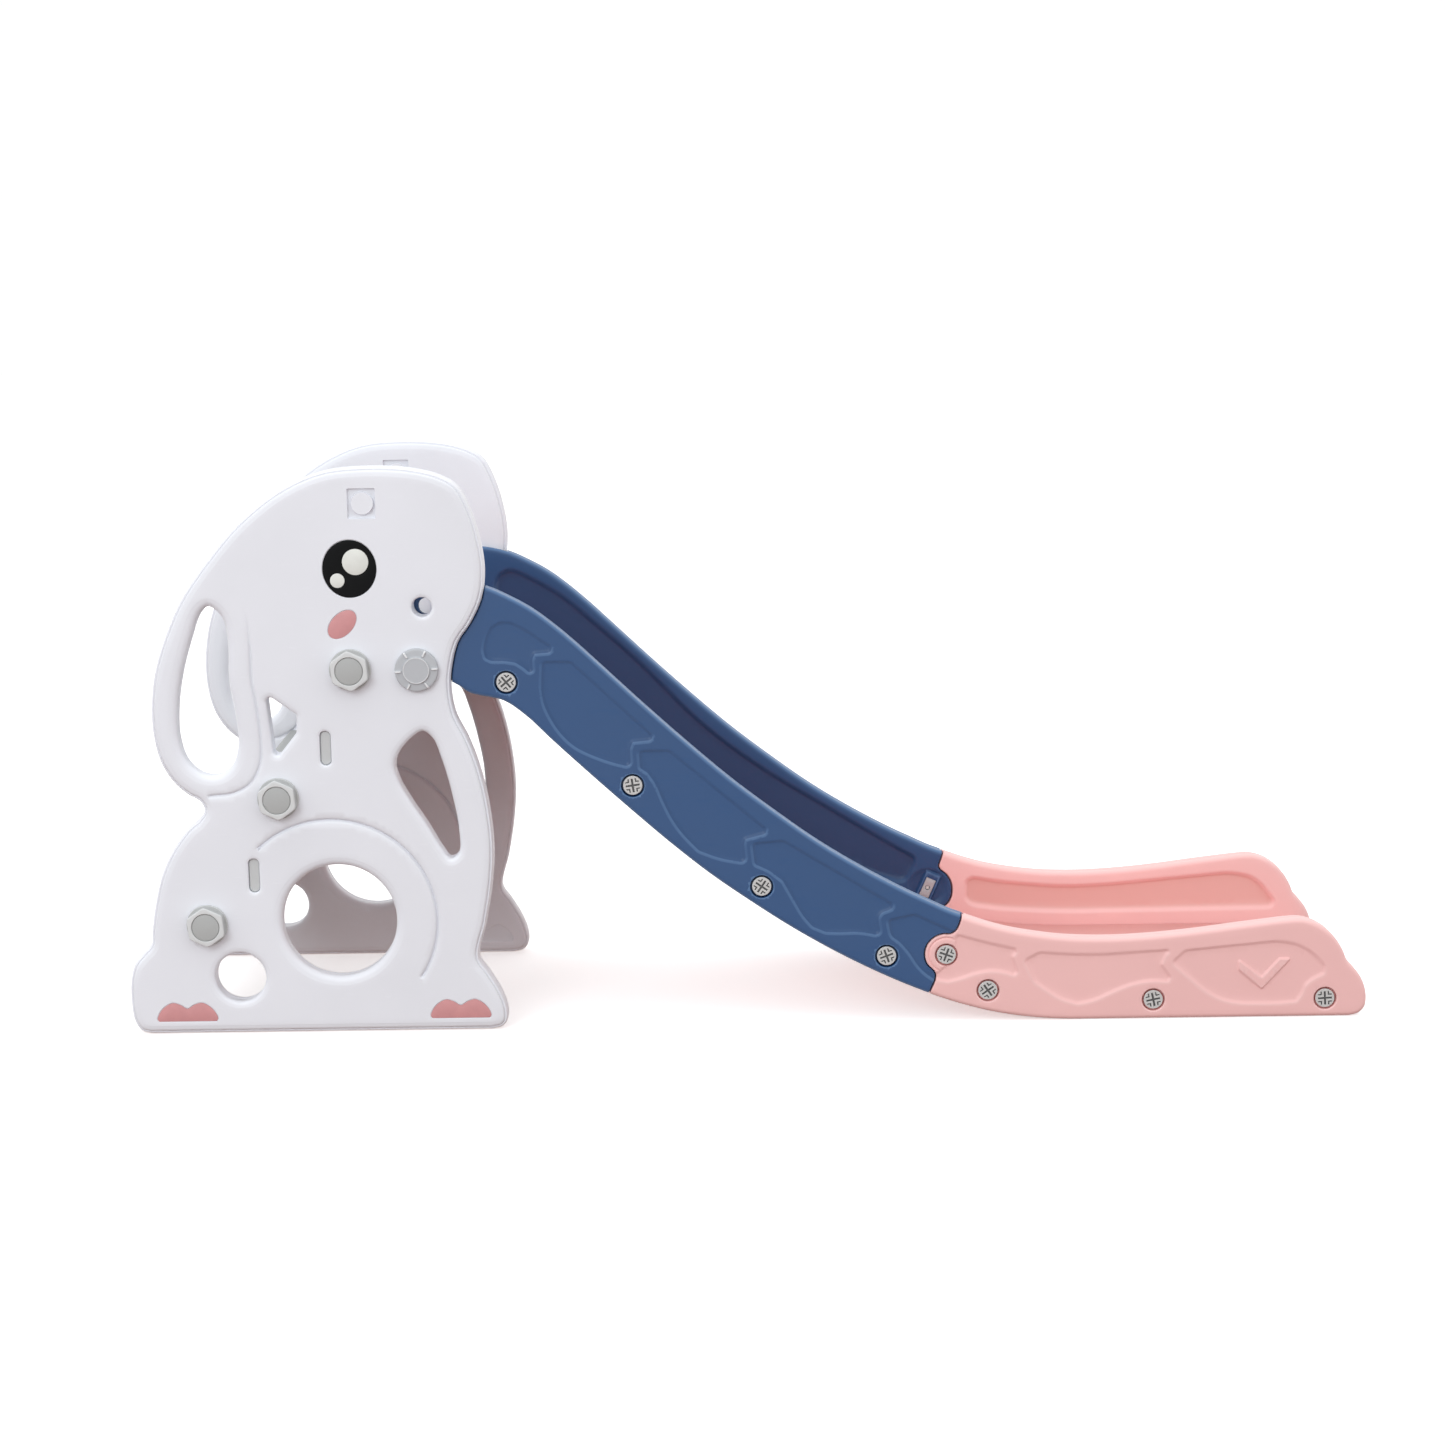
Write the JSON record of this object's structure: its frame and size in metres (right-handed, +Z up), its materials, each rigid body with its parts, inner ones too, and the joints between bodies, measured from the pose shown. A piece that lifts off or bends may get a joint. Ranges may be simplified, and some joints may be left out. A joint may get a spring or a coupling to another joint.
{
  "type": "toddler slide",
  "caption": "Freestanding toddler slide: animal-shaped side panels joined by steps and a platform, with a curved chute between low side rails.",
  "frame": {"origin": "middle of the footprint on the floor", "axes": "+X along the slide from the steps to the foot of the chute, +Y to the climber's left, +Z up"},
  "size_m": [1.576, 0.452, 0.7205],
  "materials": {
    "white_plastic": "satin blow-moulded, fine texture",
    "blue_plastic": "satin blow-moulded",
    "pink_plastic": "satin blow-moulded",
    "grey_plastic": "satin moulded",
    "screw_plastic": "satin moulded",
    "nut_plate_metal": "plated",
    "rod_metal": "plated",
    "eye_print": "gloss print",
    "rosy_print": "satin print"
  },
  "bodies": {
    "slide_frame": {"right_side_panel": "white_plastic", "left_side_panel": "white_plastic", "right_eye_decal": "eye_print", "right_cheek_decal": "rosy_print", "right_rear_toes_decal": "rosy_print", "right_front_toes_decal": "rosy_print", "left_eye_decal": "eye_print", "left_cheek_decal": "rosy_print", "left_rear_toes_decal": "rosy_print", "left_front_toes_decal": "rosy_print", "lower_step": "grey_plastic", "middle_step": "grey_plastic", "platform": "grey_plastic", "lower_rod": "rod_metal", "middle_rod": "rod_metal", "platform_rod": "rod_metal", "chute_rod": "rod_metal", "right_upper_rail": "blue_plastic", "right_lower_rail": "pink_plastic", "right_nut_plate": "nut_plate_metal", "left_upper_rail": "blue_plastic", "left_lower_rail": "pink_plastic", "left_nut_plate": "nut_plate_metal", "upper_chute_bed": "pink_plastic", "lower_chute_bed": "pink_plastic", "right_rail_screw_1": "screw_plastic", "right_rail_screw_2": "screw_plastic", "right_rail_screw_3": "screw_plastic", "right_rail_screw_4": "screw_plastic", "right_rail_screw_5": "screw_plastic", "right_rail_screw_6": "screw_plastic", "right_rail_screw_7": "screw_plastic", "right_joint_screw": "screw_plastic", "left_rail_screw_1": "screw_plastic", "left_rail_screw_2": "screw_plastic", "left_rail_screw_3": "screw_plastic", "left_rail_screw_4": "screw_plastic", "left_rail_screw_5": "screw_plastic", "left_rail_screw_6": "screw_plastic", "left_rail_screw_7": "screw_plastic", "left_joint_screw": "screw_plastic"},
    "right_lower_nut_body": {"right_lower_nut": "grey_plastic"},
    "right_middle_nut_body": {"right_middle_nut": "grey_plastic"},
    "right_platform_nut_body": {"right_platform_nut": "grey_plastic"},
    "right_chute_nut_body": {"right_chute_nut": "grey_plastic"},
    "left_lower_nut_body": {"left_lower_nut": "grey_plastic"},
    "left_middle_nut_body": {"left_middle_nut": "grey_plastic"},
    "left_platform_nut_body": {"left_platform_nut": "grey_plastic"},
    "left_chute_nut_body": {"left_chute_nut": "grey_plastic"}
  },
  "joints": [
    {"name": "right_lower_nut_turn", "type": "hinge", "parent": "slide_frame", "child": "right_lower_nut_body", "pos_m": [-0.685, -0.21, 0.143], "axis": [0, 1, 0], "continuous": true},
    {"name": "right_middle_nut_turn", "type": "hinge", "parent": "slide_frame", "child": "right_middle_nut_body", "pos_m": [-0.5885, -0.21, 0.3055], "axis": [0, 1, 0], "continuous": true},
    {"name": "right_platform_nut_turn", "type": "hinge", "parent": "slide_frame", "child": "right_platform_nut_body", "pos_m": [-0.492, -0.21, 0.468], "axis": [0, 1, 0], "continuous": true},
    {"name": "right_chute_nut_turn", "type": "hinge", "parent": "slide_frame", "child": "right_chute_nut_body", "pos_m": [-0.409, -0.21, 0.467], "axis": [0, 1, 0], "continuous": true},
    {"name": "left_lower_nut_turn", "type": "hinge", "parent": "slide_frame", "child": "left_lower_nut_body", "pos_m": [-0.685, 0.21, 0.143], "axis": [0, 1, 0], "continuous": true},
    {"name": "left_middle_nut_turn", "type": "hinge", "parent": "slide_frame", "child": "left_middle_nut_body", "pos_m": [-0.5885, 0.21, 0.3055], "axis": [0, 1, 0], "continuous": true},
    {"name": "left_platform_nut_turn", "type": "hinge", "parent": "slide_frame", "child": "left_platform_nut_body", "pos_m": [-0.492, 0.21, 0.468], "axis": [0, 1, 0], "continuous": true},
    {"name": "left_chute_nut_turn", "type": "hinge", "parent": "slide_frame", "child": "left_chute_nut_body", "pos_m": [-0.409, 0.21, 0.467], "axis": [0, 1, 0], "continuous": true}
  ]
}
